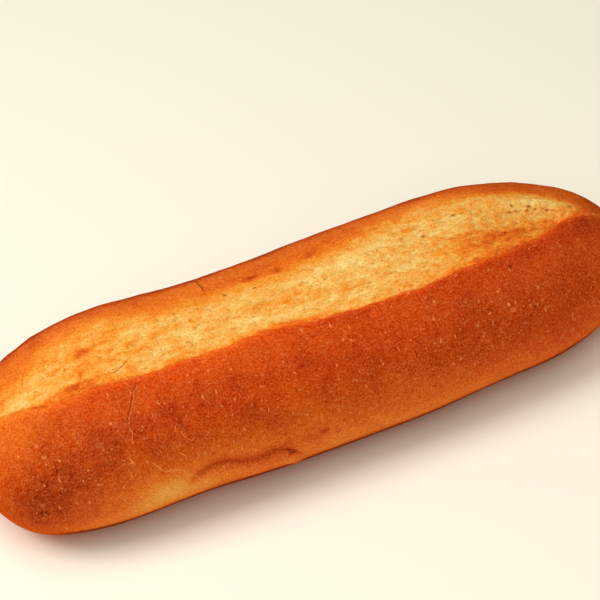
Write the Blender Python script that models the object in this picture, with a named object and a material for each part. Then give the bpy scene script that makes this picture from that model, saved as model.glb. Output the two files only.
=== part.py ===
"""A long soft bread roll for a sausage, baked with one split along its top, in metres with +Z up.

It lies along X on its flat base, its slimmer end at +X, and the side of the split that lifts into a lip is at -Y.
It is a sphere drawn out along X, so the two poles become the tips of the roll. Each point is placed by its share
of the way along, from -1 at the blunt tip to 1 at the slim one, and by its angle round the roll, which is 0 at
the far side, a quarter turn on top and half a turn at the near side.
"""
import bmesh
import bpy
import numpy as np

LENGTH = 0.190
WIDTH = 0.0615
HEIGHT = 0.0434
WIDEST_LEVEL = 0.0188       # height above the base of the widest line and of both tips
BASE_SINK = 0.003           # how far the round section would reach below the base before it is cut flat
BOW = -0.0004               # sideways bend of the middle, against the tips

# Bluntness of the blunt and of the slim end: a higher power keeps the full size for longer.
WIDTH_ENDS = (6.7, 4.1)
TOP_ENDS = (5.2, 3.2)
BASE_ENDS = (8.0, 8.0)
UPPER_POWER = 2.2           # superellipse powers of the section above and below its widest line
LOWER_POWER = 2.3

# Lines along the split, each as place along X and angle round the roll in degrees.
LIP = ((-0.095, 91), (-0.084, 97), (-0.074, 104.5), (-0.062, 106.8), (-0.048, 109.4), (-0.022, 110),
       (-0.010, 110.8), (0.006, 115), (0.024, 116), (0.042, 113.7), (0.060, 111), (0.070, 106.5), (0.080, 96),
       (0.086, 93.5), (0.095, 93))
FAR_EDGE = ((-0.095, 86), (-0.080, 84), (-0.066, 73), (-0.055, 69.5), (-0.036, 78), (-0.020, 80), (0.002, 80.5),
            (0.024, 74), (0.034, 68.5), (0.048, 67), (0.060, 71), (0.070, 74), (0.080, 84), (0.086, 89.5),
            (0.095, 91))
SKIN_RADIUS = 0.030         # turns an angle on top of the roll into a distance along its skin
LIP_RISE = 0.0006           # the near crust swells by this much towards the lip
LIP_REACH = 0.0045
LIP_STEP = 0.0009           # drop from the plain skin to the crumb just behind the lip
LIP_SHARPNESS = 0.0012      # distance over which the step drops
HOLLOW_DEPTH = 0.0008       # shallow valley in the band of crumb
GROOVE_DEPTH = 0.0016       # how much deeper the valley gets towards the slim end
GROOVE_RUN = (0.045, 0.072)
VALLEY_SHARE = 0.5          # where the valley runs, as a share of the band from the lip to the far edge
VALLEY_SHIFT = 0.3          # it closes in on the lip at the slim end
VALLEY_SHIFT_RUN = (0.062, 0.086)
VALLEY_HALF = 0.45

# Fold low on the near side, where the dough was rolled up: a furrow with a lobe under it and a pit at its end.
FOLD = ((-0.046, 181), (-0.041, 177.5), (-0.037, 175.2), (-0.029, 178.6), (-0.0205, 180.6), (-0.015, 188.5),
        (-0.011, 195))
FOLD_DEPTH = 0.0011
FOLD_REACH = 0.0018
LOBE_RISE = 0.0007
LOBE_CENTRE = 0.0048        # below the furrow, along the skin
LOBE_REACH = 0.0030

# Uneven swells and dips: place along X, angle in degrees, reach along X, reach round in degrees, and height.
SWELLS = (
    (-0.053, 45, 0.016, 45, 0.0014),     # full far shoulder at the blunt end
    (-0.092, 60, 0.014, 60, -0.0015),    # low blunt tip
    (-0.012, 45, 0.027, 45, -0.0013),    # slight waist on the far side
    (0.055, 47, 0.017, 45, 0.0009),      # full far side behind the widest part of the split
    (-0.088, 203, 0.012, 60, 0.0013),    # full near side of both tips
    (0.092, 200, 0.010, 60, 0.0021),
    (-0.040, 215, 0.016, 45, -0.0011),   # drawn-in near foot below the fold and in the slim half
    (0.046, 215, 0.015, 45, -0.0011),
    (-0.0153, 188, 0.0032, 8, -0.0012),  # pit at the end of the fold
    (-0.0057, 181, 0.0026, 6, -0.0008),  # small dimples in the crust
    (-0.0822, 178, 0.0028, 7, -0.0009),
)

ROUND_SEGMENTS = 64
LENGTH_SEGMENTS = 88
CROWDING = 0.6              # how much closer the lines along the roll lie at the lip than opposite it
EVENING = 0.25              # how much closer the rings lie in the middle of the roll than on a plain sphere
LEAST_BAND = 0.05           # angle between lip and far edge, in radians, at which the split is closed
OPEN_BAND = 0.40            # the split has its full depth once the band is this wide


def ease(start, end, value):
    """A smooth rise from 0 at start to 1 at end."""
    share = np.clip((value - start) / (end - start), 0, 1)
    return share * share * (3 - 2 * share)


def line_angle(line, x):
    """The angle in radians of a smooth curve through the line's points, at each x."""
    places, degrees = np.array(line).T
    angles = np.radians(degrees)
    slopes = np.gradient(angles, places)
    first = np.clip(np.searchsorted(places, x) - 1, 0, len(places) - 2)
    step = places[first + 1] - places[first]
    share = np.clip((x - places[first]) / step, 0, 1)
    far_weight = share * share * (3 - 2 * share)
    start_slope = share * (1 - share) ** 2 * step * slopes[first]
    end_slope = share ** 2 * (share - 1) * step * slopes[first + 1]
    return angles[first] * (1 - far_weight) + angles[first + 1] * far_weight + start_slope + end_slope


def end_rounding(along, ends):
    """1 over the middle of the roll, falling to 0 at both tips in a round end."""
    power = np.where(along < 0, ends[0], ends[1])
    return np.sqrt(np.maximum(1 - np.abs(along) ** power, 0))


def plain_section(along, around):
    """Across and up of the smooth roll: a superellipse whose width and height follow the rounded ends."""
    half_width = WIDTH / 2 * end_rounding(along, WIDTH_ENDS)
    rise = (HEIGHT - WIDEST_LEVEL) * end_rounding(along, TOP_ENDS)
    fall = (WIDEST_LEVEL + BASE_SINK) * end_rounding(along, BASE_ENDS)
    cosine, sine = np.cos(around), np.sin(around)
    power = np.where(sine >= 0, 2 / UPPER_POWER, 2 / LOWER_POWER)
    across = half_width * np.sign(cosine) * np.abs(cosine) ** power
    up = WIDEST_LEVEL + np.where(sine >= 0, rise, -fall) * np.abs(sine) ** power
    return across, up


def swell_lift(x, around):
    """Sum of the uneven swells and dips, each a bell over its place along and its angle round."""
    lift = np.zeros_like(x)
    for place, degrees, reach, reach_degrees, height in SWELLS:
        turn = (around - np.radians(degrees) + np.pi) % (2 * np.pi) - np.pi
        lift += height * np.exp(-((x - place) / reach) ** 2 - (turn / np.radians(reach_degrees)) ** 2)
    return lift


def split_lift(x, around):
    """Relief of the split: a swell up to the lip, a step down behind it, and a valley in the band of crumb."""
    lip = line_angle(LIP, x)
    band = np.maximum(lip - line_angle(FAR_EDGE, x), LEAST_BAND)
    opened = ease(LEAST_BAND, OPEN_BAND, band)
    behind = (lip - around) * SKIN_RADIUS
    share = (lip - around) / band
    near_crust = LIP_RISE * np.exp(-(behind / LIP_REACH) ** 2)
    step = LIP_RISE - (LIP_RISE + LIP_STEP) * ease(0, LIP_SHARPNESS, behind)
    crumb = step * (1 - ease(0.3, 1.0, share))
    valley_at = VALLEY_SHARE - VALLEY_SHIFT * ease(*VALLEY_SHIFT_RUN, x)
    depth = HOLLOW_DEPTH + GROOVE_DEPTH * ease(*GROOVE_RUN, x)
    valley = depth * np.maximum(1 - ((share - valley_at) / VALLEY_HALF) ** 2, 0) ** 2
    return opened * (np.where(behind < 0, near_crust, crumb) - valley)


def fold_lift(x, around):
    """Relief of the fold: a furrow along its line and a lobe of dough below, both fading out at its ends."""
    below = (around - line_angle(FOLD, x)) * SKIN_RADIUS
    start, end = FOLD[0][0], FOLD[-1][0]
    present = ease(start, start + 0.006, x) * (1 - ease(end - 0.004, end, x))
    furrow = FOLD_DEPTH * np.exp(-(below / FOLD_REACH) ** 2)
    lobe = LOBE_RISE * np.exp(-((below - LOBE_CENTRE) / LOBE_REACH) ** 2)
    return present * (lobe - furrow)


def roll_surface(along, around):
    """The points of the roll, with its base cut flat at zero height."""
    x = along * LENGTH / 2
    across, up = plain_section(along, around)
    lift = swell_lift(x, around) + split_lift(x, around) + fold_lift(x, around)
    lift *= end_rounding(along, (12, 12))
    y = across + lift * np.cos(around) + BOW * (1 - along ** 2)
    z = np.maximum(up + lift * np.sin(around), 0)
    return x, y, z


def centred(points):
    """The points moved so that the middle of their box stands over the origin."""
    middle = (points.min(axis=0) + points.max(axis=0)) / 2
    return points - (middle[0], middle[1], 0)


def crust_material():
    """Browned crust: warm brown and nearly matt."""
    material = bpy.data.materials.new("crust")
    material.use_nodes = True
    shader = material.node_tree.nodes["Principled BSDF"]
    shader.inputs["Base Color"].default_value = (0.50, 0.16, 0.035, 1)
    shader.inputs["Roughness"].default_value = 0.55
    shader.inputs["Metallic"].default_value = 0
    return material


def make_roll(collection):
    """A unit sphere, its poles on X and its lines drawn together along the lip, shaped into the roll."""
    shape = bmesh.new()
    bmesh.ops.create_uvsphere(shape, u_segments=ROUND_SEGMENTS, v_segments=LENGTH_SEGMENTS, radius=1)
    mesh = bpy.data.meshes.new("bun")
    shape.to_mesh(mesh)
    shape.free()
    sphere = np.empty(len(mesh.vertices) * 3)
    mesh.vertices.foreach_get("co", sphere)
    east, north, pole = sphere.reshape(-1, 3).T
    latitude = np.arcsin(np.clip(pole, -1, 1))
    along = np.sin(latitude - EVENING / 2 * np.sin(2 * latitude))
    turn = np.arctan2(north, east)
    around = line_angle(LIP, along * LENGTH / 2) + turn - CROWDING * np.sin(turn)
    points = centred(np.stack(roll_surface(along, around), axis=1))
    mesh.vertices.foreach_set("co", points.ravel())
    mesh.update()
    mesh.shade_smooth()
    mesh.materials.append(crust_material())
    roll = bpy.data.objects.new("bun", mesh)
    collection.objects.link(roll)
    return roll


def main():
    for old in list(bpy.data.objects):
        bpy.data.objects.remove(old)
    collection = bpy.data.collections.new("hot_dog_bun")
    bpy.context.scene.collection.children.link(collection)
    make_roll(collection)


main()
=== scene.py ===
"""The looks of a long soft bread roll with one baked split along its top.

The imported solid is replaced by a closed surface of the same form, fine enough to carry the torn lip, the
crumb, the cracks, dents and blisters. A point of the roll is placed by its share of the way along, from -1 at
the blunt tip to 1 at the slim one, and by its angle round the roll: 0 at the far side, 90 degrees on top, 180
at the near side. The form and its tables are in millimetres from the middle and in degrees, while camera,
light and finish are in metres. The colour of the whole roll follows one number, its browning: 0 is the palest
crumb and 1 the darkest crust.
"""
import math

import bpy
import numpy as np
from mathutils import Matrix, Vector


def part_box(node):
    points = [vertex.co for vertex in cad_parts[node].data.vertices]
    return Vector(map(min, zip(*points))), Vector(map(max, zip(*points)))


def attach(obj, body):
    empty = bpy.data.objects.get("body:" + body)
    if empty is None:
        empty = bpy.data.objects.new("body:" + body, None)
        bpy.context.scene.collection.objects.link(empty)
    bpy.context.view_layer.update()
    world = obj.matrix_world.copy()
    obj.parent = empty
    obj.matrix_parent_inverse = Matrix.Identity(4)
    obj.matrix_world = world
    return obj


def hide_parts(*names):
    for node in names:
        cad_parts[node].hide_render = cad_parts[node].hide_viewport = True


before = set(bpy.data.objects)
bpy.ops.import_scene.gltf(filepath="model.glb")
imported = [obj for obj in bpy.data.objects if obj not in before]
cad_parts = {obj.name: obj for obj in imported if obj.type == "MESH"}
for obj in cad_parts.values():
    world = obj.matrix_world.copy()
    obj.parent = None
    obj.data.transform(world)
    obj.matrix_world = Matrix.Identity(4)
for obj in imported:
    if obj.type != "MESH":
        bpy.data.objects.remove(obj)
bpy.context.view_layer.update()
MM = 0.001  # a millimetre in metres
LOW, HIGH = (np.array(corner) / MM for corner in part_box("bun"))
LENGTH = HIGH[0] - LOW[0]

# Camera of the photograph: seen from the near side, 45 degrees down, and turned a little in its own plane.
PHOTO_PIXELS = 600
SENSOR = 36.0
AZIMUTH, ELEVATION, ROLL = -15.7, 45.0, 8.4
DISTANCE = 0.75
PIXELS_PER_METRE = 3653
AIM = (0.0053, 0.0144, 0.022)

# Studio light: an even glow all round, and softboxes with azimuth and height in degrees, size and watts.
AIR_LIGHT = 0.21
AIR_COLOUR = (1.16, 1.0, 0.70, 1)  # warm, so that the shadow on the pale floor is brown and not grey
LAMP_DISTANCE = 0.9
LAMPS = (("window", 260, 50, 0.4, 3.5), ("top_lamp", 235, 78, 0.4, 1.85), ("softbox", -15, 60, 0.8, 3.2))
FLOOR_HALF = 3.0  # wide enough to reach the horizon of a low view

# Plain form of the roll, before the solid's box sets its size.
WIDTH = 61.5
HEIGHT = 43.4
WIDEST_LEVEL = 18.8  # height above the base of the widest line and of both tips
BASE_SINK = 3  # how far the round section would reach below the base before it is cut
BOW = -0.4  # sideways bend of the middle, against the tips
WIDTH_ENDS = (6.7, 4.1)  # bluntness of the blunt and of the slim end
TOP_ENDS = (5.2, 3.2)
BASE_ENDS = (8, 8)
RELIEF_ENDS = (12, 12)  # the swells, the split and the fold fade out at the tips
UPPER_POWER = 2.2
LOWER_POWER = 2.3
SKIN_RADIUS = 30  # turns an angle round the roll into a distance along its skin

# Lines along the split, each as place along and angle.
LIP = ((-95, 91), (-84, 97), (-74, 104.5), (-62, 106.8), (-48, 109.4), (-22, 110), (-10, 110.8), (6, 115),
       (24, 116), (42, 113.7), (60, 111), (70, 106.5), (80, 96), (86, 93.5), (95, 93))
FAR_EDGE = ((-95, 86), (-80, 84), (-66, 73), (-55, 69.5), (-36, 78), (-20, 80), (2, 80.5), (24, 74),
            (34, 68.5), (48, 67), (60, 71), (70, 74), (80, 84), (86, 89.5), (95, 91))
LIP_RISE = 0.6  # the near crust swells by this much towards the lip
LIP_REACH = 4.5
LIP_STEP = 0.9  # drop from the plain skin to the crumb just behind the lip
LIP_SHARPNESS = 0.9
STEP_FADE = (0.3, 1)  # the drop fades out over this share of the band of crumb
LIP_TEAR = 0.7  # how far the torn edge of the crust wanders
TEAR_SIZE = 6
HOLLOW_DEPTH = 0.8  # shallow valley in the band of crumb
GROOVE_DEPTH = 1.6  # how much deeper the valley gets towards the slim end
GROOVE_RUN = (45, 72)
VALLEY_SHARE = 0.5  # where the valley runs, as a share of the band from the lip
VALLEY_SHIFT = 0.3  # it closes in on the lip at the slim end
VALLEY_SHIFT_RUN = (62, 86)
VALLEY_HALF = 0.45
LEAST_BAND = 0.05  # angle from lip to far edge, in radians, at which the split is closed
OPEN_BAND = 0.40

# Fold low on the near side: its line, how sharp its crease is along it, and the lobe of dough below.
FOLD = ((-46.5, 187), (-43.5, 183.2), (-40.5, 180), (-37, 177.8), (-31.5, 179), (-28.4, 182.4),
        (-25.3, 183.8), (-21.5, 183.2), (-18.5, 183.5), (-16, 188), (-14, 193), (-11, 197))
CREASE_SHARE = ((-46.5, 0.6), (-43, 1), (-36, 1.1), (-31, 0.9), (-28, 0.3), (-24, 0.35), (-19, 0.5),
                (-15.5, 1.2), (-12.5, 0.6))
FOLD_START_RUN = 6
FOLD_END_RUN = 4
FOLD_DEPTH = 0.7
FOLD_REACH = 1.6
LOBE_RISE = 0.6
LOBE_CENTRE = 4.8  # below the fold's line, along the skin
LOBE_REACH = 3
CREASE_DEPTH = 0.3
CREASE_REACH = 0.6
SHADE_CENTRE = -0.9  # painted shade on both sides of the line, more above it
SHADE_REACH = 1.7

# Uneven swells and dips: place along, angle, reach along, reach round in degrees, and height.
SWELLS = (
    (-53, 45, 16, 45, 1.4), (-92, 60, 14, 60, -1.5), (-12, 45, 27, 45, -1.3), (55, 47, 17, 45, 0.9),
    (-88, 203, 12, 60, 1.3), (92, 200, 10, 60, 2.1), (-40, 215, 16, 45, -1.1), (46, 215, 15, 45, -1.1),
    (-15.3, 188, 3.2, 8, -1.2), (-5.7, 181, 2.6, 6, -0.8), (-82.2, 178, 2.8, 7, -0.9),
)

# The finer surface: rings along the roll and lines round it. A crowd of lines has its angle from the lip, its
# reach and how many more lines it has than the rest. Few lie underneath, beyond these angles from the lip.
RINGS = 450
LINES = 220
END_CROWDING = 8
LINE_CROWDS = ((-17, 19, 1.6), (0, 2.5, 3), (45, 45, 1.2))
UNDER = (118, 140), (-158, -172)
UNDER_THINNING = 0.9
LEAST_LINES = 0.1

# Fine relief: size of the largest features, and how far they stand out.
STREAK_SIZE = (8.5, 1.6, 1)  # ridges along the band of crumb
STREAK_HEIGHT = 0.30
PEBBLE_SIZE = 2  # grains of the crumb
PEBBLE_HEIGHT = 0.22
CRUMB_START = 0.6  # distance behind the lip over which the crumb's relief sets in
LUMP_SIZE = (14, 10, 10)
LUMP_HEIGHT = 0.12
RIPPLE_SIZE = 4
RIPPLE_HEIGHT = 0.06
FAR_SHOULDER = 50  # angle and reach in degrees of the lumpier far shoulder, more ragged at the blunt end
FAR_SHOULDER_REACH = 25
FAR_LUMP_HEIGHT = 0.26
FAR_RIPPLE_HEIGHT = 0.12
RAGGED_RIPPLE_HEIGHT = 0.20
RAGGED_RUN = (-55, -75)
BLISTER_HEIGHT = 0.08
BLISTER_RIM = 0.4
CRACKS = (("crust", 0.35, 0.45), ("crumb", 0.1, 0.5))  # depth and reach
LYING_HEIGHT = 2.5  # the fine relief sets in over this height above the base
FINE_ENDS = (30, 30)

# Browning of the crust by angle, from the middle of the base round the far side, the top and the near side.
# Its dark peak about 208 degrees is painted contact shadow along the near foot.
CRUST_BROWNING = ((-90, 0.74), (-60, 0.76), (-40, 0.8), (-25, 0.8), (0, 0.82), (25, 0.86), (40, 0.9),
                  (47, 0.86), (52, 0.72), (58, 0.64), (66, 0.625), (74, 0.63), (82, 0.62), (110, 0.68),
                  (118, 0.72), (130, 0.78), (150, 0.81), (166, 0.75), (177, 0.67), (190, 0.57), (197, 0.55),
                  (201, 0.62), (204, 0.86), (208, 0.97), (214, 0.88), (225, 0.8), (240, 0.76), (270, 0.74))
CREASE_SHADE_TONE = 0.13  # painted shade and highlight of the fold: darker in the crease and the shade, paler on the lobe
SHADE_TONE = 0.14
LOBE_HIGHLIGHT_TONE = -0.05
CRUST_DENT_SHADE = 0.4  # painted shade in the dents, for each millimetre of depth
CRUMB_BROWNING = 0.235
UNDER_LIP_TONE = 0.18  # the crumb is browner right behind the lip
UNDER_LIP = (0.6, 3.6)
STREAK_TONE = -0.10  # and paler on its ridges and grains
PEBBLE_TONE = -0.08
# Painted shade in the crumb's dents, for each millimetre of depth.
CRUMB_DENT_SHADE = 0.9

# The crumb browns into the far crust over this distance about its far edge. The fringe wavers, and in the
# slim half it is shifted and sharper.
FRINGE = (-5.5, 6.5)
FRINGE_WAVER = 2.2
WAVER_SIZE = 6
FRINGE_SHIFT = 1
SHIFT_RUN = (45, 60)
SHARPENING = 0.9
SHARPENING_RUN = (45, 65)

# At the tips all angles meet, so the finish there follows the height above the base. It takes over along the
# tip runs at the slim and the blunt end, and sooner round the near and far foot.
# Darkest at the base, where it carries the painted contact shadow of the near foot round the tips.
TIP_BROWNING = ((0, 0.95), (2, 0.85), (6, 0.68), (12, 0.71), (20, 0.79), (34, 0.74), (45, 0.7))
TIP_REDNESS = 0.35
TIP_RUNS = (80, 92), (-86, -93.5)
FOOT_RUNS = (68, 84), (-72, -86)
FOOT_ANGLES = (188, 200), (-8, -20)
MARKS_END = (88.5, 93.2)  # blisters and specks stop here, and at these turns from the lip in radians
MARKS_SEAM = (2.6, 2.9)

# Painted contact shadow, a dark line along the near foot: its angle and reach, where it has faded out below,
# and its strength.
FOOT_SHADOW_ANGLE = 208
FOOT_SHADOW_REACH = 5.5
FOOT_SHADOW_END = 232
FOOT_SHADOW_STRENGTH = 0.75
SHADED_HOLE_DEPTH = 0.06  # painted shade fills the dents below this depth, and none below this angle on the near side
HOLE_SHADE_STRENGTH = 7
SHADED_HOLES_END = 165

# The lip is softer towards both ends, by a share over a run, and at one place it lies a little further back.
SOFT_LIP = ((0.55, -35, -60), (0.45, 62, 72))
LIP_BACK = 1
LIP_BACK_PLACE = 73.5
LIP_BACK_REACH = 6.5

# How red the crust's brown is by angle, from 0 for golden brown to 1, and places that are more or less so.
CRUST_REDNESS = ((-90, 0.3), (-10, 0.3), (40, 0.2), (60, 0), (80, 0.1), (92, 0.6), (100, 0.9), (113, 0.95),
                 (125, 0.7), (137, 0.6), (149, 0.45), (161, 0.2), (173, 0.08), (197, 0.1), (215, 0.2),
                 (270, 0.3))
REDNESS_PLACES = (
    (60, 178, 30, 28, 0.45), (-80, 122, 18, 30, -0.3), (-26, 160, 16, 20, -0.15), (-83, 114, 10, 12, -0.55),
    (-53, 120, 5, 8, -0.45), (-18, 118, 10, 6, -0.25), (-80, 180, 20, 24, 0.3), (-26, 188, 14, 14, 0.35),
    (45, 186, 20, 14, 0.2), (75, 185, 14, 22, 0.3), (-77, 108, 12, 8, -0.3), (-78, 118, 14, 20, -0.12),
    (84, 104, 10, 16, -0.3), (-6, 70, 22, 5, 0.35), (58, 62, 16, 10, 0.25), (-78, 165, 14, 30, -0.3),
    (-53, 146, 12, 14, -0.25), (72, 128, 14, 18, -0.25), (45, 134, 16, 18, -0.2), (-72, 140, 12, 14, -0.12),
    (48, 150, 16, 16, -0.14),
)
MOST_REDNESS = 1.2

# How dull flour makes the crust, by angle: most along the near foot, less in the fold and the blunt end.
FLOURED = ((-90, 0), (40, 0.1), (54, 0.4), (62, 0.25), (70, 0), (86, 0.05), (100, 0.12), (131, 0.1), (150, 0),
           (163, 0.1), (172, 0.4), (184, 0.9), (198, 1), (204, 0.2), (215, 0), (270, 0))
# The fold's crease and painted shade clear the flour, so that the painted shade there stays deep.
CREASE_CLEAR = 0.8
SHADE_CLEAR = 0.7
BLUNT_CLEAR = 0.6
BLUNT_CLEAR_RUN = (-68, -80)

# Wrinkled and speckled stretches of the crust: place along, angle, reach along, reach round, and how strong.
WRINKLED_EVERYWHERE = 0.2
WRINKLED_PLACES = ((-48, 155, 16, 32, 0.55), (-78, 150, 14, 25, 0.35), (-58, 185, 10, 14, 0.6))
SPECKLED_EVERYWHERE = 0.35
SPECKLED_PLACES = ((10, 190, 50, 22, 0.85), (60, 175, 30, 25, 0.62), (-50, 185, 20, 20, 0.45))

# Patches of more or less browning: place along, angle, reach along, reach round in degrees, and change.
CRUST_PATCHES = (
    (-25, 114, 18, 8, -0.05),  # bright stretch under the lip
    (-72, 155, 14, 18, 0.07), (-62, 135, 10, 10, 0.05), (-82, 168, 6, 10, 0.05),
    (-90, 135, 8, 32, -0.11),  # lighter blunt tip
    (-33, 135, 3, 8, 0.04), (-42.5, 130, 3, 8, 0.04), (-25, 132, 3, 8, 0.04), (-24, 150, 3, 9, 0.04),
    (-8, 134, 3, 8, 0.04), (-3, 156, 3, 9, 0.04), (8, 137, 3, 8, 0.04), (10, 158, 3, 9, 0.04),
    (17, 150, 3, 8, 0.04), (-19.5, 160, 2.5, 10, 0.1), (-12, 150, 2, 12, -0.04), (-7, 169, 1.5, 10, -0.04),
    (1, 158, 2, 10, -0.04),
    (-49.7, 183, 5.5, 7, -0.14),  # pale place beside the fold
    (-56, 193, 18, 9, -0.06), (-40, 170, 6, 4, -0.04), (82, 150, 10, 35, -0.04), (-53, 175, 14, 16, -0.08),
    (-26, 169, 14, 10, -0.08), (-50, 184, 8, 14, -0.12),
    (-87, 188, 10, 18, 0.12),  # darker foot of the blunt tip
    (-80, 168, 16, 26, 0.08), (-83, 185, 7, 10, 0.04), (60, 114, 10, 6, 0.07), (84, 104, 10, 16, 0.2),
    (72, 188, 14, 16, 0.05), (22, 114, 34, 7, 0.09), (-53, 109, 12, 7, 0.08), (45, 163, 14, 12, 0.04),
    (45, 125, 16, 14, 0.04), (75, 118, 14, 16, 0.05), (10, 130, 22, 25, 0.025), (-78, 115, 14, 18, 0.03),
    (-78, 188, 12, 14, 0.08), (14, 192, 22, 12, -0.03), (-25, 195, 14, 6, 0.04), (-25, 77, 12, 6, -0.04),
    (45, 61, 12, 6, -0.04), (-86, 140, 8, 22, 0.02), (45, 150, 16, 20, 0.02), (-52, 140, 14, 14, 0.02),
    (72, 68, 12, 12, 0.05), (45, 60, 12, 7, -0.05), (-24, 70, 10, 5, -0.05), (-88, 59, 12, 10, 0.06),
    (65, 155, 22, 35, 0.03), (72, 59, 12, 8, 0.08),
    (-38.5, 187, 8, 5, -0.08),  # painted highlight on the lobe under the fold
    (-20.5, 181, 8, 4, 0.1),  # soft shade above the fold's far end
    (-45, 130, 24, 20, 0.03), (-88, 150, 10, 25, 0.04), (-25, 63, 12, 10, -0.04), (55, 60, 12, 10, 0.05),
    (77, 68, 6, 14, -0.04),
    (-6, 70, 22, 4, 0.05),  # redder, darker streak beside the far edge of the crumb
    (-9, 73.6, 2.2, 2.4, 0.32), (-2, 75, 1.8, 2.4, 0.26), (9, 72.5, 1.8, 2.4, 0.16),
    (-57.5, 66.5, 1.6, 3, 0.15), (-22.5, 75, 1.6, 3, 0.1), (-68, 60, 3, 5, 0.1), (16, 64, 2, 3, 0.08),
    (22.5, 61.5, 2, 3, 0.08), (-40, 62, 2.5, 4, 0.08),
)
CRUMB_PATCHES = (
    (-62, 90, 26, 30, 0.13),  # browner crumb in the blunt half
    (48, 97, 14, 8, 0.1), (74, 93, 14, 14, 0.1), (82, 98, 6, 7, 0.18), (52, 73, 12, 8, 0.06),
    (18, 90, 10, 12, -0.07), (73, 87, 10, 7, -0.08), (-53, 105, 12, 7, 0.06), (-26, 80, 12, 7, -0.05),
    (62, 96.5, 10, 2.4, 0.15), (52, 100, 12, 2, 0.1), (48, 95, 10, 1.6, 0.08), (70, 92, 7, 2.2, 0.1),
    (56, 91, 10, 1.5, 0.08), (-69, 103, 10, 4.5, 0.22), (56, 108, 15, 5, 0.26), (34, 110, 8, 3.5, 0.14),
    (-6, 108, 10, 3.5, 0.12), (-32, 106, 6, 3.5, 0.12), (-58, 83.3, 2.5, 2.4, 0.42),
    # (71, 85.8) is painted shade along the groove at the slim end.
    (-60.5, 93.5, 4, 3, 0.15), (-64, 99.6, 5, 2, 0.34), (71, 85.8, 9, 1.6, 0.1), (-77, 74, 4, 9, 0.2),
    (-50, 79, 2, 3, 0.15),
    (-47, 89, 4, 4, -0.08), (-40, 99.5, 2.5, 4, -0.1), (-30, 97, 2.5, 5, -0.1), (-78, 89, 3, 4, -0.08),
    (-72, 86, 3, 4, -0.08), (17, 85, 4, 5, -0.1), (-16, 99.5, 5, 5, -0.1), (-2.5, 94.5, 6, 3.5, 0.15),
    (11.5, 100, 2, 2, 0.15), (16.5, 101, 4, 1.3, 0.12), (48, 92, 4, 1.5, 0.12), (58, 98, 12, 7, 0.14),
    (61, 97, 4, 4, 0.08),
    (77, 96, 5, 4, 0.19),  # near wall of the groove, where the crust runs down into it
    (74, 80, 6, 6, -0.12), (-8.7, 73.8, 2.4, 2.2, 0.4), (-1.7, 76.5, 1.6, 2, 0.48),
    (-11, 94.8, 10, 6, -0.025), (60, 88, 8, 5, -0.03), (78, 88, 4, 5, -0.05), (-33, 93, 8, 6, 0.025),
    (8, 73, 2, 3, 0.1), (-29, 75, 2, 3, 0.1), (45, 66, 1.5, 3, 0.12), (54.5, 66.5, 1, 2, 0.15),
)

# Strokes: cracks and long pale blisters, each a path with how dark its line and how pale its edges are.
CRUST_STROKES = (
    (((-48.5, 111), (-50.5, 116), (-52, 120.5), (-53.2, 124.5), (-54.5, 129), (-55, 134)), 0.65, 0.5),
    (((-55, 134), (-54.8, 138), (-55.3, 141), (-55.6, 145)), 0.1, 0.7),
    (((-52.2, 110.5), (-50.7, 114), (-50.8, 117)), 0.3, 0.6),
    (((-42.9, 126), (-43, 130), (-42.5, 135), (-41.9, 142), (-41.4, 148), (-41.1, 152)), 0.45, 0),
    (((-43.3, 141.5), (-44.2, 146)), 0, 0.5), (((-42.8, 147), (-41.9, 151), (-40.6, 154.5)), 0, 0.5),
    (((-45, 158), (-43.9, 160.7), (-43.3, 163.4), (-43, 166)), 0, 0.7),
    (((-52.9, 156.5), (-51.4, 162.3), (-50.8, 165), (-49.7, 167.6), (-48, 169.2), (-46.4, 169.7),
      (-45.3, 171.3), (-43.9, 176.1), (-42.2, 180.1), (-40.3, 184), (-39.4, 191)), 0.1, 1.1),
    (((-62.9, 175), (-61.4, 179.4), (-60, 183.6), (-59.4, 188.5)), 0.15, 0.9),
    (((-57.8, 150.2), (-57.5, 152.8), (-56.4, 157)), 0, 0.6),
    (((-58.6, 157.6), (-58.6, 160.8), (-57.8, 166)), 0, 0.35),
    (((-21.5, 72), (-21.9, 60), (-21.7, 48)), 0.8, 0), (((56.6, 183), (56.6, 193)), 0.35, 0.3),
    (((-6.2, 166), (-6, 172)), 0, 0.8), (((0.9, 146.5), (1, 150.8)), 0, 0.8),
    (((6.6, 147.5), (7, 151)), 0, 0.6), (((-10.5, 162.5), (-9.7, 164.8)), 0, 0.7),
    (((18.6, 143), (18.7, 146.5)), 0, 0.6), (((25.8, 148.5), (25.8, 152)), 0, 0.7),
    (((-1.2, 166.5), (-1.2, 171.5)), 0, 0.7), (((10.8, 163), (11, 166.5)), 0, 0.6),
    (((23.3, 167.5), (23.6, 171)), 0, 0.6), (((8.1, 121), (8.3, 125)), 0, 0.6),
    (((56, 168.5), (57, 171.5)), 0, 0.6), (((46.5, 163.5), (46.8, 167)), 0, 0.6),
    (((77, 97), (80.5, 95), (84, 93.5), (88, 93), (93, 92.5)), 0, 0.9),
    (((-57, 59), (-55.5, 60.5), (-54, 59), (-52.5, 60)), 0, 0.7),
)
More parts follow.
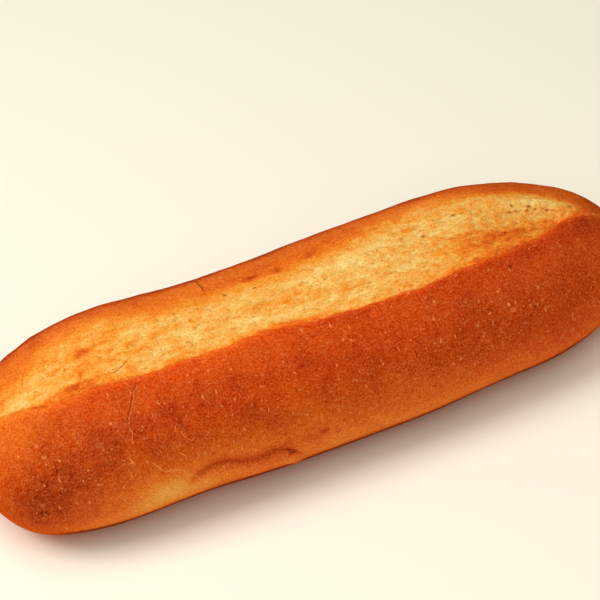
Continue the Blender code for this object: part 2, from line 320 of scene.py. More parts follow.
CRUMB_STROKES = (
    (((-25, 90.5), (-21, 93), (-17, 94), (-14, 92.5), (-10, 91), (-5, 90), (6, 89)), 0.25, 0.2),
    (((-54, 101), (-50.5, 98.5), (-47.5, 95)), 0.9, 0.2), (((-32.5, 103), (-30.5, 99)), 0.5, 0.2),
    (((-67, 98.5), (-63, 100), (-58, 99.5)), 0.7, 0), (((13, 101), (20, 101)), 0.3, 0),
    (((40, 90), (48, 93), (54, 90)), 0.3, 0.2),
    (((55, 84), (62, 83.3), (70, 84.5), (73, 85.2), (76, 87.5), (79, 89.3), (82, 91.3)), 0.35, 0.4),
    (((30.5, 86), (31.5, 84), (33.5, 83.5)), 0.4, 0),
    (((-76, 85.5), (-75.5, 83), (-74.5, 80), (-73.5, 77)), 0.9, 0.2),
)
STROKE_BEND = 0.22  # how far and over what length a stroke is bent crooked
STROKE_BEND_SIZE = 2.2
STROKE_START = (0, 0.15)  # a stroke fades over these shares of its length
STROKE_END = (0.8, 1)
STROKE_EDGE = (0.9, 1.4)  # and over this distance from it
FAR_AWAY = 20.0

# Round blisters: place along, angle and radius.
DISCS = (
    (51.9, 146.5, 0.9), (40.9, 147.6, 0.7), (61.7, 154, 0.6), (42.2, 154, 0.5), (47, 156, 0.5),
    (54, 158.4, 0.6), (71.4, 117.8, 0.5), (77.5, 116.5, 0.6), (68.4, 168.8, 0.6), (64.5, 182.3, 0.8),
    (68.1, 182.1, 0.8), (76.4, 145.4, 0.5), (4.5, 153.5, 0.5), (1.4, 127.2, 0.5), (-17.8, 131.8, 0.6),
    (-19.2, 137.8, 0.5), (27.2, 171, 0.5), (60.1, 171.6, 0.5), (40.4, 115.6, 0.5), (-13.8, 167.8, 0.5),
    (-77.6, 134, 0.7), (-78.5, 125, 0.7), (-66.9, 162, 0.6), (-82, 170, 0.7),
)
# Dents and pits: place along, angle, half length along, half height round the roll and depth.
DENTS = (
    (-82.2, 178, 1.5, 1.1, 0.5), (-15, 190, 1.6, 1.6, 0.7), (-5.8, 180, 1.5, 1, 0.5),
    (-2.3, 182.5, 0.9, 0.8, 0.4), (38.2, 124.4, 0.4, 0.6, 0.2), (55.3, 120.6, 0.4, 0.6, 0.3),
    (58, 150.5, 0.4, 0.5, 0.3), (-37, 82, 0.7, 0.5, 0.12), (-29, 88, 0.5, 0.5, 0.12),
    (-17.5, 80.5, 0.6, 0.5, 0.2), (-9.5, 83, 0.6, 0.4, 0.2), (38.5, 86, 0.7, 0.5, 0.2),
    (49, 79, 0.7, 0.5, 0.2), (65.5, 80.5, 0.4, 0.5, 0.2), (70, 82.7, 0.6, 0.4, 0.25),
    (81, 87, 0.4, 0.6, 0.2), (64, 84, 0.6, 0.3, 0.2), (66, 83.9, 0.4, 0.3, 0.2), (69, 84.5, 0.6, 0.3, 0.2),
    (71.2, 84.9, 0.5, 0.3, 0.2), (74.5, 86.4, 0.5, 0.3, 0.2),
)


def ease(start, end, value):
    """A smooth rise from 0 at start to 1 at end: three times the square of the share less twice its cube."""
    share = np.clip((value - start) / (end - start), 0, 1)
    return share * share * (3 - 2 * share)


def beyond(runs, value):
    """1 past the end of either of two runs that lead away from each other, and 0 between their starts."""
    return ease(*runs[0], value) + ease(*runs[1], value)


def bell(distance, reach):
    """A bell that is 1 at no distance and falls off as the exponential of minus the square."""
    return np.exp(-(distance / reach) ** 2)


def smooth_curve(line, x):
    """Values of a smooth curve through the line's points: a cubic between each two, with their slopes."""
    places, values = np.array(line).T
    slopes = np.gradient(values, places)
    first = np.clip(np.searchsorted(places, x) - 1, 0, len(places) - 2)
    step = places[first + 1] - places[first]
    share = np.clip((x - places[first]) / step, 0, 1)
    far_weight = share * share * (3 - 2 * share)
    start_slope = share * (1 - share) ** 2 * step * slopes[first]
    end_slope = share ** 2 * (share - 1) * step * slopes[first + 1]
    return values[first] * (1 - far_weight) + values[first + 1] * far_weight + start_slope + end_slope


def line_angle(line, x):
    return np.radians(smooth_curve(line, x))


def cell_number(cells, seed):
    """A fixed random number from 0 to 1 for each whole-number cell of space, by mixing its bits."""
    x, y, z = (cells[..., axis].astype(np.uint32) for axis in range(3))
    mixed = x * np.uint32(374761393) + y * np.uint32(668265263) + z * np.uint32(2246822519)
    mixed = mixed + np.uint32(seed * 40503 + 977)
    mixed = (mixed ^ (mixed >> np.uint32(13))) * np.uint32(1274126177)
    return ((mixed ^ (mixed >> np.uint32(16))) & np.uint32(0xFFFFFF)) / 0xFFFFFF


def smooth_noise(points, size, seed):
    """Noise from -1 to 1: random numbers at a cell's eight corners, blended by an S-curve on each axis."""
    scaled = points / np.array(size)
    cell = np.floor(scaled).astype(np.int64)
    share = scaled - cell
    share = share * share * (3 - 2 * share)
    total = np.zeros(points.shape[:-1])
    for corner in np.ndindex(2, 2, 2):
        weight = np.prod(np.where(np.array(corner) == 1, share, 1 - share), axis=-1)
        total += weight * cell_number(cell + np.array(corner), seed)
    return 2 * total - 1


def layered_noise(points, size, seed, layers=3):
    """A sum of smooth noise, each layer half the size and half the strength of the one before."""
    total = sum(smooth_noise(points, np.array(size) / 2 ** layer, seed + layer) / 2 ** layer
                for layer in range(layers))
    return total / (2 - 2 ** (1 - layers))


def end_rounding(along, ends):
    """1 over the middle and 0 at both tips: the root of one less a power of the share of the way out."""
    power = np.where(along < 0, ends[0], ends[1])
    return np.sqrt(np.maximum(1 - np.abs(along) ** power, 0))


def plain_section(along, around):
    """Across and up of the smooth roll: a superellipse whose width and height follow the rounded ends."""
    half_width = WIDTH / 2 * end_rounding(along, WIDTH_ENDS)
    rise = (HEIGHT - WIDEST_LEVEL) * end_rounding(along, TOP_ENDS)
    fall = (WIDEST_LEVEL + BASE_SINK) * end_rounding(along, BASE_ENDS)
    cosine, sine = np.cos(around), np.sin(around)
    power = np.where(sine >= 0, 2 / UPPER_POWER, 2 / LOWER_POWER)
    across = half_width * np.sign(cosine) * np.abs(cosine) ** power
    up = WIDEST_LEVEL + np.where(sine >= 0, rise, -fall) * np.abs(sine) ** power
    return across, up


def turn_from(around, degrees):
    """The turn from an angle to each point, from minus half a turn to half a turn."""
    return (around - np.radians(degrees) + np.pi) % (2 * np.pi) - np.pi


def stroke_fields(kind, x, around, strokes, seed):
    """Signed distance to the nearest stroke, and how dark and how pale it is there, fading at both its ends.

    A stroke is a path of straight steps on the skin, and the skin is first bent by a fine noise, so that the
    path comes out crooked. The distance is positive on one side and negative on the other, so it passes
    smoothly through nought between the surface's points.
    """
    spots = np.stack([x, around * SKIN_RADIUS, np.zeros_like(x)], axis=-1)
    along = x + STROKE_BEND * layered_noise(spots, STROKE_BEND_SIZE, seed)
    skin = spots[..., 1] + STROKE_BEND * layered_noise(spots, STROKE_BEND_SIZE, seed + 5)
    nearest = np.full(x.shape, FAR_AWAY)
    signed = nearest.copy()
    dark, pale = np.zeros_like(x), np.zeros_like(x)
    for path, darkness, paleness in strokes:
        corners = np.array([(place, math.radians(degrees) * SKIN_RADIUS) for place, degrees in path])
        runs = np.diff(corners, axis=0)
        lengths = np.hypot(*runs.T)
        reached = np.cumsum(lengths) - lengths
        for corner, run, length, before in zip(corners, runs, lengths, reached):
            gone = np.clip(((along - corner[0]) * run[0] + (skin - corner[1]) * run[1]) / length ** 2, 0, 1)
            aside = np.stack([along - corner[0] - gone * run[0], skin - corner[1] - gone * run[1]])
            distance = np.hypot(*aside)
            closer = distance < nearest
            side = np.sign(aside[0] * run[1] - aside[1] * run[0])
            progress = (before + gone * length) / lengths.sum()
            present = ease(*STROKE_START, progress) * (1 - ease(*STROKE_END, progress))
            present = present * (1 - ease(*STROKE_EDGE, distance))
            signed = np.where(closer, distance * side, signed)
            dark = np.where(closer, darkness * present, dark)
            pale = np.where(closer, paleness * present, pale)
            nearest = np.where(closer, distance, nearest)
    return {kind + "_stroke": signed, kind + "_dark": dark, kind + "_pale": pale}


def disc_depth(x, around):
    """Distance inwards from the rim of the nearest round blister, negative outside it."""
    return np.max([radius - np.hypot(x - place, turn_from(around, degrees) * SKIN_RADIUS)
                   for place, degrees, radius in DISCS], axis=0)


def dent_depth(x, around):
    """Depth of the dents and pits, each falling off faster than a plain bell, so that its floor is flat."""
    total = np.zeros_like(x)
    for place, degrees, half_length, half_height, depth in DENTS:
        height = turn_from(around, degrees) * SKIN_RADIUS
        total += depth * np.exp(-np.hypot((x - place) / half_length, height / half_height) ** 4)
    return total


def ring_places():
    """Share of the way along for each ring: even over the middle, and closing up towards the tips."""
    even = np.linspace(-1, 1, RINGS + 2)[1:-1]
    return ((END_CROWDING + 1) * even - np.sign(even) * np.abs(even) ** (END_CROWDING + 1)) / END_CROWDING


def line_turns():
    """Turn of each line from the lip, in radians: closest at the lip and on the band, far apart below."""
    degrees = np.linspace(-180, 180, 3601)
    density = np.ones_like(degrees)
    for centre, reach, more in LINE_CROWDS:
        density += more * bell(degrees - centre, reach)
    count = np.cumsum(density * np.maximum(1 - UNDER_THINNING * beyond(UNDER, degrees), LEAST_LINES))
    wanted = np.linspace(count[0], count[-1], LINES, endpoint=False)
    return np.radians(np.interp(wanted, count, degrees))


def grid_normals(points):
    """Outward unit normals of a grid of points, from the cross product of its two directions."""
    along = np.gradient(points, axis=0)
    around = np.roll(points, -1, axis=1) - np.roll(points, 1, axis=1)
    normals = np.cross(along, around)
    return normals / np.maximum(np.linalg.norm(normals, axis=-1, keepdims=True), 1e-12)


def skin_lengths(points, turn):
    """Distance round the roll from the lip to each point: the sum of its ring's steps between lines."""
    steps = np.linalg.norm(np.diff(points, axis=1), axis=-1)
    reached = np.concatenate([np.zeros_like(steps[:, :1]), np.cumsum(steps, axis=1)], axis=1)
    at_lip = np.argmin(np.abs(turn[0]))
    return reached - reached[:, at_lip:at_lip + 1]


def fitted(points, tips):
    """The points moved and stretched so that the smooth roll fills the solid's box exactly."""
    every = np.concatenate([points.reshape(-1, 3), tips])
    low, high = every.min(axis=0), every.max(axis=0)
    scale = (HIGH - LOW) / (high - low)
    return LOW + (points - low) * scale, LOW + (tips - low) * scale


def closed_mesh(name, points, tips, fields):
    """A mesh in metres, closed round the roll and by a fan at each tip, with the fields on its points."""
    rings, lines = points.shape[:2]
    index = np.arange(rings * lines).reshape(rings, lines)
    after = np.roll(index, -1, axis=1)
    quads = np.stack([index[:-1], index[1:], after[1:], after[:-1]], axis=-1).reshape(-1, 4)
    start, end = rings * lines, rings * lines + 1
    first_fan = np.stack([np.full(lines, start), index[0], after[0]], axis=-1)
    last_fan = np.stack([np.full(lines, end), after[-1], index[-1]], axis=-1)
    mesh = bpy.data.meshes.new(name)
    vertices = np.concatenate([points.reshape(-1, 3), tips]) * MM
    mesh.from_pydata(vertices.tolist(), [], quads.tolist() + first_fan.tolist() + last_fan.tolist())
    for field, values in fields.items():
        attribute = mesh.attributes.new(field, "FLOAT", "POINT")
        every = np.concatenate([values.ravel(), values[[0, -1], 0]])
        attribute.data.foreach_set("value", every.astype(np.float32))
    mesh.shade_smooth()
    return mesh


class Roll:
    """Every point of the surface's grid: where it lies on the roll, and what the skin is like there."""

    def __init__(self):
        self.along, self.turn = np.meshgrid(ring_places(), line_turns(), indexing="ij")
        self.x = self.along * LENGTH / 2
        nought = np.zeros_like(self.x)
        rings = np.stack([self.x, nought, nought], axis=-1)[:, :1]
        lip = line_angle(LIP, self.x) + LIP_TEAR / SKIN_RADIUS * layered_noise(rings, TEAR_SIZE, 11)
        self.around = lip + self.turn
        self.degrees = (np.degrees(self.around) + 90) % 360 - 90
        self.behind = -self.turn * SKIN_RADIUS
        self.far_edge = line_angle(FAR_EDGE, self.x)
        self.band = np.maximum(lip - self.far_edge, LEAST_BAND)
        self.measure_fold()
        self.smooth, self.tips = self.smooth_points()
        self.crumb = self.crumb_share()
        self.inner = self.inner_share()
        self.lines = stroke_fields("crust", self.x, self.around, CRUST_STROKES, 71)
        self.lines.update(stroke_fields("crumb", self.x, self.around, CRUMB_STROKES, 83))
        self.discs = disc_depth(self.x, self.around)
        self.dents = dent_depth(self.x, self.around)
        self.streaks = layered_noise(np.stack([self.x, self.behind, nought], axis=-1), STREAK_SIZE, 31)
        self.pebbles = layered_noise(self.smooth, PEBBLE_SIZE, 41)

    def patches(self, table):
        """Sum of soft patches, each a bell over its place along and its angle round."""
        return sum(amount * bell(self.x - place, reach)
                   * bell(turn_from(self.around, degrees), math.radians(reach_degrees))
                   for place, degrees, reach, reach_degrees, amount in table)

    def measure_fold(self):
        """The fold's furrow, crease, lobe and shade, each a bell over the distance below its line."""
        start, end = FOLD[0][0], FOLD[-1][0]
        folded = ease(start, start + FOLD_START_RUN, self.x) * (1 - ease(end - FOLD_END_RUN, end, self.x))
        below = (self.around - line_angle(FOLD, self.x)) * SKIN_RADIUS
        self.furrow = folded * bell(below, FOLD_REACH)
        self.crease = folded * bell(below, CREASE_REACH) * smooth_curve(CREASE_SHARE, self.x)
        self.lobe = folded * bell(below - LOBE_CENTRE, LOBE_REACH)
        self.shade = folded * bell(below - SHADE_CENTRE, SHADE_REACH)

    def split_lift(self):
        """Relief of the split: a swell up to the lip, a step down behind it, and a valley in the crumb."""
        share = -self.turn / self.band
        near_crust = LIP_RISE * bell(self.behind, LIP_REACH)
        step = LIP_RISE - (LIP_RISE + LIP_STEP) * ease(0, LIP_SHARPNESS, self.behind)
        crumb = step * (1 - ease(*STEP_FADE, share))
        valley_at = VALLEY_SHARE - VALLEY_SHIFT * ease(*VALLEY_SHIFT_RUN, self.x)
        depth = HOLLOW_DEPTH + GROOVE_DEPTH * ease(*GROOVE_RUN, self.x)
        valley = depth * np.maximum(1 - ((share - valley_at) / VALLEY_HALF) ** 2, 0) ** 2
        opened = ease(LEAST_BAND, OPEN_BAND, self.band)
        return opened * (np.where(self.behind < 0, near_crust, crumb) - valley)

    def smooth_points(self):
        """The roll without its fine relief, and its two tips, stretched to fill the solid's box."""
        across, up = plain_section(self.along, self.around)
        lift = self.patches(SWELLS) + self.split_lift()
        lift += LOBE_RISE * self.lobe - FOLD_DEPTH * self.furrow - CREASE_DEPTH * self.crease
        lift *= end_rounding(self.along, RELIEF_ENDS)
        y = across + lift * np.cos(self.around) + BOW * (1 - self.along ** 2)
        z = np.maximum(up + lift * np.sin(self.around), 0)
        tips = np.array([(-LENGTH / 2, 0, WIDEST_LEVEL), (LENGTH / 2, 0, WIDEST_LEVEL)])
        return fitted(np.stack([self.x, y, z], axis=-1), tips)

    def crumb_share(self):
        """1 on the open crumb, falling to 0 over the fringe at its far edge, and 0 all over the near side."""
        past_edge = (self.far_edge - self.around) * SKIN_RADIUS
        past_edge += FRINGE_WAVER * layered_noise(self.smooth, WAVER_SIZE, 21)
        past_edge -= FRINGE_SHIFT * ease(*SHIFT_RUN, self.x)
        past_edge *= 1 + SHARPENING * ease(*SHARPENING_RUN, self.x)
        opened = ease(LEAST_BAND, 3 * LEAST_BAND, self.band)
        return opened * (1 - ease(*FRINGE, past_edge)) * (self.turn < 1)

    def inner_share(self):
        """1 where the finish follows the angle round the roll, 0 at the tips, where it follows the height."""
        foot = beyond(FOOT_ANGLES, self.degrees) * beyond(FOOT_RUNS, self.x)
        return (1 - beyond(TIP_RUNS, self.x)) * (1 - foot)

    def carved_points(self):
        """The smooth roll moved along its normals by the crumb, the lumps, blisters, cracks and dents."""
        relief = STREAK_HEIGHT * self.streaks + PEBBLE_HEIGHT * self.pebbles
        relief *= self.crumb * ease(0, CRUMB_START, self.behind)
        relief += BLISTER_HEIGHT * ease(0, BLISTER_RIM, self.discs) - self.dents
        for kind, depth, reach in CRACKS:
            relief -= depth * self.lines[kind + "_dark"] * bell(self.lines[kind + "_stroke"], reach)
        shoulder = bell(turn_from(self.around, FAR_SHOULDER), math.radians(FAR_SHOULDER_REACH))
        lumps = LUMP_HEIGHT + FAR_LUMP_HEIGHT * shoulder
        relief += lumps * layered_noise(self.smooth, LUMP_SIZE, 51, 2)
        ragged = RAGGED_RIPPLE_HEIGHT * ease(*RAGGED_RUN, self.x)
        ripples = RIPPLE_HEIGHT + (FAR_RIPPLE_HEIGHT + ragged) * shoulder
        relief += ripples * layered_noise(self.smooth, RIPPLE_SIZE, 61)
        relief *= ease(0, LYING_HEIGHT, self.smooth[..., 2]) * end_rounding(self.along, FINE_ENDS)
        points = self.smooth + grid_normals(self.smooth) * relief[..., None]
        points[..., 2] = np.maximum(points[..., 2], 0)
        return points

    def crust_tone(self):
        """Browning of the crust by angle and patch, with painted shade in the fold and the dents and a
        painted highlight on the fold's lobe.
        """
        tone = smooth_curve(CRUST_BROWNING, self.degrees) + self.patches(CRUST_PATCHES)
        tone += CREASE_SHADE_TONE * self.crease + SHADE_TONE * self.shade + LOBE_HIGHLIGHT_TONE * self.lobe
        tone += CRUST_DENT_SHADE * self.dents
        return self.inner * tone + (1 - self.inner) * smooth_curve(TIP_BROWNING, self.smooth[..., 2])

    def crumb_tone(self):
        """Browning of the crumb, darker behind the lip, with painted shade in the dents, and paler on the
        ridges and grains.
        """
        tone = CRUMB_BROWNING + self.patches(CRUMB_PATCHES) + CRUMB_DENT_SHADE * self.dents
        tone += UNDER_LIP_TONE * (1 - ease(*UNDER_LIP, self.behind))
        return tone + STREAK_TONE * self.streaks + PEBBLE_TONE * self.pebbles

    def redness(self):
        redness = smooth_curve(CRUST_REDNESS, self.degrees) + self.patches(REDNESS_PLACES)
        return np.clip(self.inner * redness + (1 - self.inner) * TIP_REDNESS, 0, MOST_REDNESS)

    def floured(self):
        clear = CREASE_CLEAR * self.crease + SHADE_CLEAR * self.shade
        clear += BLUNT_CLEAR * ease(*BLUNT_CLEAR_RUN, self.x)
        return self.inner * smooth_curve(FLOURED, self.degrees) * (1 - np.clip(clear, 0, 1))

    def dark(self):
        """Painted shade at its darkest: on the floors of the dents on the upper half, and a contact shadow
        along the near foot.
        """
        shaded_holes = np.clip(HOLE_SHADE_STRENGTH * (self.dents - SHADED_HOLE_DEPTH) * (self.degrees < SHADED_HOLES_END), 0, 1)
        line = FOOT_SHADOW_STRENGTH * bell(np.minimum(self.degrees - FOOT_SHADOW_ANGLE, 0), FOOT_SHADOW_REACH)
        return shaded_holes + self.inner * line * (1 - ease(FOOT_SHADOW_ANGLE, FOOT_SHADOW_END, self.degrees))

    def lip_distance(self):
        """Distance behind the lip, drawn smaller where the lip is soft."""
        soft = sum(share * ease(start, end, self.x) for share, start, end in SOFT_LIP)
        return (self.behind - LIP_BACK * bell(self.x - LIP_BACK_PLACE, LIP_BACK_REACH)) * (1 - soft)

    def marked(self):
        """1 where the crust has its blisters and specks, and 0 at the tips and along the seam underneath."""
        return (1 - ease(*MARKS_END, np.abs(self.x))) * (1 - ease(*MARKS_SEAM, np.abs(self.turn)))

    def fields(self):
        """What the finish reads at each point: small distances in millimetres, and the girth in metres."""
        return {
            "behind": self.lip_distance(),
            # painted shade: the dent floors and the contact shadow along the near foot
            "dark": self.dark(),
            "floured": self.floured(),
            "crumb": self.crumb,
            "crust_tone": self.crust_tone(),
            "crumb_tone": self.crumb_tone(),
            "redness": self.redness(),
            "wrinkled": WRINKLED_EVERYWHERE + self.patches(WRINKLED_PLACES),
            "speckled": SPECKLED_EVERYWHERE + self.patches(SPECKLED_PLACES),
            "girth": skin_lengths(self.smooth, self.turn) * MM,
            "marked": self.marked(),
            "disc": self.discs,
            **self.lines,
        }


class Wire:
    """An output of a material's nodes, with arithmetic that adds Math nodes."""

    def __init__(self, finish, socket):
        self.finish = finish
        self.socket = socket

    def math(self, operation, *others, clamp=False):
        settings = {"operation": operation, "use_clamp": clamp}
        return self.finish.add("ShaderNodeMath", settings, [self, *others])

    def __add__(self, other):
        return self.math("ADD", other)

    def __sub__(self, other):
        return self.math("SUBTRACT", other)

    def __rsub__(self, other):
        return self.finish.add("ShaderNodeMath", {"operation": "SUBTRACT"}, [other, self])

    def __mul__(self, other):
        return self.math("MULTIPLY", other)

    def __truediv__(self, other):
        return self.math("DIVIDE", other)

    def __abs__(self):
        return self.math("ABSOLUTE")

    __radd__ = __add__
    __rmul__ = __mul__

    def clamped(self):
        return self.math("ADD", 0.0, clamp=True)

    def rise(self, start, end):
        """0 at start and 1 at end, with a smooth S-curve between."""
        settings = {"interpolation_type": "SMOOTHSTEP"}
        return self.finish.add("ShaderNodeMapRange", settings, [self, start, end, 0.0, 1.0])

    def beside(self, name):
        """Another output of the same node."""
        return Wire(self.finish, self.socket.node.outputs[name])


class Finish:
    """A material and the one method that adds a node to it."""

    def __init__(self, name):
        self.material = bpy.data.materials.new(name)
        self.material.use_nodes = True
        self.tree = self.material.node_tree
        self.shader = self.tree.nodes["Principled BSDF"]

    def add(self, kind, settings=None, inputs=(), output=0):
        """A node of that kind. Its settings, a ramp's stops among them, are set first, then its inputs."""
        node = self.tree.nodes.new(kind)
        for name, value in (settings or {}).items():
            if name == "stops":
                self.set_stops(node.color_ramp.elements, value)
            else:
                setattr(node, name, value)
        pairs = inputs.items() if isinstance(inputs, dict) else enumerate(inputs)
        for key, value in pairs:
            self.put(node.inputs[key], value)
        return Wire(self, node.outputs[output])

    def set_stops(self, elements, stops):
        """A ramp's stops. It has two already, at its ends, so the first two given are its ends."""
        for number, (position, shade) in enumerate(stops):
            element = elements[number] if number < 2 else elements.new(position)
            element.position = position
            element.color = shade

    def put(self, socket, value):
        if isinstance(value, Wire):
            self.tree.links.new(value.socket, socket)
        elif value is not None:
            socket.default_value = value

    def set(self, **values):
        """Values or links of the shader's own sockets, named with underscores for blanks."""
        for name, value in values.items():
            self.put(self.shader.inputs[name.replace("_", " ")], value)

    def field(self, name):
        return self.add("ShaderNodeAttribute", {"attribute_name": name}, output="Fac")

    def place(self, stretch=(1, 1, 1)):
        """Object coordinates in metres, stretched along each axis."""
        spot = self.add("ShaderNodeTexCoord", output="Object")
        return self.add("ShaderNodeMapping", {"vector_type": "POINT"}, {"Vector": spot, "Scale": stretch})

    def skin_place(self, spacing_along, spacing_round):
        """Place on the crust laid flat, counted in spacings along the roll and round it."""
        spot = self.add("ShaderNodeTexCoord", output="Object")
        along = self.add("ShaderNodeSeparateXYZ", {}, [spot], output="X")
        round_roll = self.field("girth") / spacing_round
        return self.add("ShaderNodeCombineXYZ", {}, [along / spacing_along, round_roll])

    def noise(self, vector, size, detail=2.0, roughness=0.5):
        """Noise from about -1 to 1 whose largest features are about size metres."""
        settings = {"Vector": vector, "Scale": 1 / size, "Detail": detail, "Roughness": roughness}
        return (self.add("ShaderNodeTexNoise", {}, settings) - 0.5) * 2

    def bent(self, vector, size, reach):
        """Places pushed about by up to half of reach every way, so that what is drawn there is ragged."""
        settings = {"Vector": vector, "Scale": 1 / size, "Detail": 2.0}
        push = self.add("ShaderNodeTexNoise", {}, settings, output="Color")
        push = self.add("ShaderNodeVectorMath", {"operation": "SUBTRACT"}, [push, (0.5, 0.5, 0.5)])
        reaches = (reach, reach, reach)
        return self.add("ShaderNodeVectorMath", {"operation": "MULTIPLY_ADD"}, [push, reaches, vector])

    def tinted(self, base, strength, shade):
        """A colour with a share of another added to it, or taken away where the strength is below nought."""
        extra = self.add("ShaderNodeVectorMath", {"operation": "SCALE"}, {"Vector": shade, "Scale": strength})
        total = self.add("ShaderNodeVectorMath", {"operation": "ADD"}, [base, extra])
        return self.add("ShaderNodeVectorMath", {"operation": "MAXIMUM"}, [total, DARKEST])

    def dots(self, vector, chance, largest, sharpness):
        """Soft-edged dots of random sizes, at most one near the middle of each cell, in a chance of them."""
        distance = self.add("ShaderNodeTexVoronoi", {"voronoi_dimensions": "2D"},
                            {"Vector": vector, "Scale": 1.0}, output="Distance")
        draw = self.add("ShaderNodeSeparateColor", {}, [distance.beside("Color")], output="Red")
        size = (draw - (1 - chance)) * (largest / chance)
        return ((size - distance) * sharpness).clamped()

    def mix(self, share, first, second):
        """One colour laid over another by a share from 0 to 1."""
        return self.add("ShaderNodeMix", {"data_type": "RGBA", "clamp_factor": True},
                        {0: share, 6: first, 7: second}, output=2)

    def shades(self, value, stops):
        return self.add("ShaderNodeValToRGB", {"stops": stops}, [value])


def colour(red, green, blue):
    """A linear colour with full cover, from the 0 to 255 numbers of a screen."""
    screen = np.array([red, green, blue]) / 255
    linear = np.where(screen <= 0.04045, screen / 12.92, ((screen + 0.055) / 1.055) ** 2.4)
    return (*linear.tolist(), 1.0)


# Colours of the bread from the palest crumb to the darkest crust, by browning. Both ends come first.
BROWNING = (
    (0.00, colour(247, 213, 131)), (1.00, colour(140, 44, 12)), (0.20, colour(240, 185, 95)),
    (0.40, colour(240, 153, 55)), (0.55, colour(234, 122, 36)), (0.70, colour(214, 95, 27)),
    (0.85, colour(186, 72, 20)),
)
BLISTER = colour(252, 150, 84)
PALE_EDGE = colour(252, 150, 78)
CRACK_BROWN = colour(120, 38, 10)
CRUMB_BROWN = colour(178, 70, 12)
PORE_BROWN = colour(190, 96, 28)
# The colour of painted shade in the dents and along the near foot.
PAINTED_SHADE_BROWN = colour(98, 34, 9)
REDDER = (1.0, 0.62, 0.46, 1)  # what the reddest crust keeps of its golden brown
FLOUR = (0.003, 0.004, 0.0095)  # what flour adds to a colour
DARKEST = (0.002, 0.001, 0.0005)
GRAIN_SIZE = 0.0005  # fine light and dark grain over everything
GRAIN_STRENGTH = 0.30
BUMP_HEIGHT = 0.00018


def crust_marks(bread, spot):
    """Browning of the crust, its mottles, and its blisters: dashes, flecks, specks and wrinkled lines."""
    broad = bread.noise(spot, 0.022, detail=3.0)
    blotches = bread.noise(spot, 0.0060, detail=3.0)
    mottles = bread.noise(spot, 0.0015, detail=3.0, roughness=0.65)
    tone = bread.field("crust_tone") + broad * 0.05 + blotches * 0.10 + mottles * 0.11

    dash_place = bread.bent(bread.skin_place(0.0019, 0.0030), size=0.8, reach=0.8)
    dashes = bread.dots(dash_place, chance=0.36, largest=0.21, sharpness=13.0)
    speck_place = bread.bent(bread.skin_place(0.0010, 0.0011), size=1.5, reach=0.5)
    specks = bread.dots(speck_place, chance=0.60, largest=0.30, sharpness=9.0) * bread.field("speckled")
    flecks = bread.noise(spot, 0.00080, detail=1.0).rise(0.20, 0.50)
    wander = bread.noise(bread.skin_place(0.0020, 0.0052), 1.0, detail=3.0, roughness=0.55)
    wrinkled = bread.noise(bread.skin_place(0.0046, 0.0060), 1.0).rise(0.0, 0.35) * bread.field("wrinkled")
    lines = (1 - abs(wander).rise(0.015, 0.05)) * wrinkled
    blisters = (dashes * 1.1 + flecks * 0.4 + specks * 0.9 + lines).clamped()
    return tone, mottles, blisters * bread.field("marked")


def crumb_marks(bread):
    """Browning of the open crumb, its fibres and fine meal, and the small brown pits in it."""
    clouds = bread.noise(bread.place((0.5, 1, 1)), 0.0070, detail=3.0)
    fibre_place = bread.bent(bread.place((0.5, 1, 1)), size=0.007, reach=0.003)
    fibres = bread.noise(fibre_place, 0.0018, detail=3.0, roughness=0.62)
    meal = bread.noise(bread.place((0.7, 1, 1)), 0.0014, detail=1.0)
    tone = bread.field("crumb_tone") + clouds * 0.16 + fibres * 0.26 + meal * 0.20

    pore_place = bread.bent(bread.skin_place(0.0015, 0.0011), size=0.9, reach=0.7)
    pores = bread.dots(pore_place, chance=0.60, largest=0.30, sharpness=6.0)
    pit_place = bread.bent(bread.skin_place(0.0032, 0.0022), size=0.6, reach=0.9)
    pits = bread.dots(pit_place, chance=0.40, largest=0.27, sharpness=6.0)
    return tone, fibres, meal, pits + pores * 0.8


def draw_strokes(bread, base, kind, where, dark_shade, waver):
    """The colour with crooked dark lines and thin pale ones laid over it, and the dark lines' mask."""
    offset = bread.field(kind + "_stroke") + waver * 0.40
    dark = bread.field(kind + "_dark")
    line = (1 - abs(offset).rise(0.10, 0.32)) * dark * where
    edge = (1 - abs(offset - dark * 0.55).rise(0.05, 0.23)) * bread.field(kind + "_pale") * where
    return bread.mix(line * 0.9, bread.mix(edge * 0.9, base, PALE_EDGE), dark_shade), line


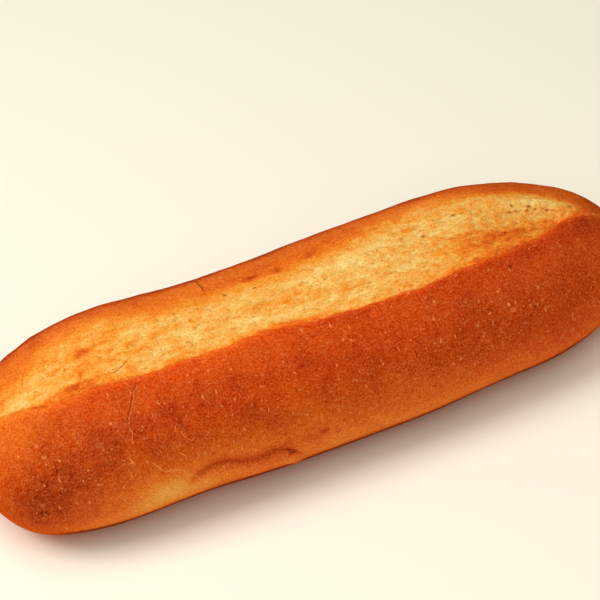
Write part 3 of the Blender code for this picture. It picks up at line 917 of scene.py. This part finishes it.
def bread_finish():
    """Browned crust with blisters, wrinkles and cracks, and rough pale crumb where the split has opened."""
    bread = Finish("crust_and_crumb")
    spot = bread.place()
    waver = bread.noise(spot, 0.0012)
    grain = bread.noise(spot, GRAIN_SIZE, detail=1.0, roughness=0.6)
    behind = bread.field("behind") + waver * 0.45
    share = bread.field("crumb")
    frayed = share * (1 - share) * bread.noise(spot, 0.0035, detail=3.0, roughness=0.6)
    crumb = behind.rise(-0.10, 0.60) * (share + frayed * 1.6).clamped()
    on_crust = 1 - crumb

    crust_tone, mottles, blisters = crust_marks(bread, spot)
    crumb_tone, fibres, meal, pits = crumb_marks(bread)
    # A painted highlight along the lip's edge, where the step faces the light: the browning there is lowered.
    lit_lip_edge = behind.rise(-1.2, -0.2) * (1 - behind.rise(0.1, 0.8))
    base = bread.shades(crust_tone + (crumb_tone - crust_tone) * crumb - lit_lip_edge * 0.10, BROWNING)
    base = bread.add("ShaderNodeMix", {"data_type": "RGBA", "blend_type": "MULTIPLY"},
                     {0: bread.field("redness") * on_crust, 6: base, 7: REDDER}, output=2)
    lighter = bread.add("ShaderNodeGamma", {}, {"Color": base, "Gamma": 0.45})
    base = bread.tinted(base, grain * GRAIN_STRENGTH, lighter)

    discs = bread.field("disc").rise(-0.10, 0.12)
    base = bread.mix(blisters * on_crust * 0.60, base, BLISTER)
    base = bread.mix(discs * on_crust * 0.30, base, BLISTER)
    base = bread.mix(pits * crumb * 0.55, base, PORE_BROWN)
    # Painted shade: the dent floors and the contact shadow along the near foot, in a deep brown.
    base = bread.mix(bread.field("dark") * 0.80, base, PAINTED_SHADE_BROWN)
    torn = (1 - abs(behind - 0.80).rise(0.10, 0.40)) * bread.noise(spot, 0.0030).rise(-0.35, 0.25)
    base = bread.mix(torn * crumb * 0.45, base, CRUMB_BROWN)

    broken = bread.noise(spot, 0.0014).rise(-0.30, 0.05)
    base, crust_line = draw_strokes(bread, base, "crust", on_crust, CRACK_BROWN, waver)
    base, crumb_line = draw_strokes(bread, base, "crumb", crumb * broken, CRUMB_BROWN, waver)

    crust_height = mottles * 0.4 + grain * 0.4 + blisters * 0.6 + discs * 0.3 - crust_line * 0.8
    crumb_height = fibres * 1.6 + meal * 1.2 + grain * 0.3 - pits * 0.4 - crumb_line * 0.3
    height = crust_height * on_crust + crumb_height * crumb
    bump = bread.add("ShaderNodeBump", {}, {"Strength": 1.0, "Distance": BUMP_HEIGHT, "Height": height})
    bread.set(Base_Color=bread.tinted(base, bread.field("floured"), FLOUR), Normal=bump)
    bread.set(Roughness=0.60 + crumb * 0.25 - blisters * 0.06, Specular_IOR_Level=0.0)
    return bread.material


def floor_finish():
    floor = Finish("pale_floor")
    floor.set(Base_Color=(0.98, 0.955, 0.83, 1), Roughness=0.6, Specular_IOR_Level=0.2)
    return floor.material


def make_object(name, mesh, material):
    made = bpy.data.objects.new(name, mesh)
    bpy.context.scene.collection.objects.link(made)
    mesh.materials.append(material)
    return made


def lay_floor():
    """A plain pale floor."""
    signs = ((-1, -1), (1, -1), (1, 1), (-1, 1))
    mesh = bpy.data.meshes.new("floor")
    mesh.from_pydata([(FLOOR_HALF * x, FLOOR_HALF * y, 0) for x, y in signs], [], [(0, 1, 2, 3)])
    floor = make_object("floor", mesh, floor_finish())


def view_axes(azimuth, elevation, roll):
    """Unit vectors to the right of the picture, up it and back, for a camera turned in its own plane."""
    side, down, turned = (math.radians(angle) for angle in (azimuth, elevation, roll))
    back = Vector((math.sin(side) * math.cos(down), -math.cos(side) * math.cos(down), math.sin(down)))
    level = Vector((math.cos(side), math.sin(side), 0))
    upright = back.cross(level)
    right = level * math.cos(turned) - upright * math.sin(turned)
    return right, upright * math.cos(turned) + level * math.sin(turned), back


def placed(axes, spot):
    """The matrix that turns a camera or lamp to those axes and puts it at the spot."""
    matrix = Matrix(axes).transposed().to_4x4()
    matrix.translation = spot
    return matrix


def set_camera():
    lens = bpy.data.cameras.new("camera")
    lens.sensor_width = SENSOR
    lens.lens = PIXELS_PER_METRE * DISTANCE * SENSOR / PHOTO_PIXELS
    camera = bpy.data.objects.new("camera", lens)
    bpy.context.scene.collection.objects.link(camera)
    axes = view_axes(AZIMUTH, ELEVATION, ROLL)
    camera.matrix_world = placed(axes, Vector(AIM) + axes[2] * DISTANCE)
    bpy.context.scene.camera = camera


def add_lamp(name, azimuth, elevation, size, power):
    """A square softbox that faces the roll from an azimuth, 0 at the near side, and a height in degrees."""
    lamp = bpy.data.lights.new(name, "AREA")
    lamp.size = size
    lamp.energy = power
    made = bpy.data.objects.new(name, lamp)
    bpy.context.scene.collection.objects.link(made)
    axes = view_axes(azimuth, elevation, 0)
    made.matrix_world = placed(axes, axes[2] * LAMP_DISTANCE)


def set_light():
    world = bpy.data.worlds.new("studio")
    bpy.context.scene.world = world
    world.use_nodes = True
    air = world.node_tree.nodes["Background"]
    air.inputs["Color"].default_value = AIR_COLOUR
    air.inputs["Strength"].default_value = AIR_LIGHT
    for lamp in LAMPS:
        add_lamp(*lamp)
    bpy.context.scene.view_settings.view_transform = "Standard"


def main():
    surface = Roll()
    mesh = closed_mesh("bread_roll", surface.carved_points(), surface.tips, surface.fields())
    roll = make_object("bread_roll", mesh, bread_finish())
    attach(roll, "root")
    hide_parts("bun")
    lay_floor()
    set_camera()
    set_light()


main()
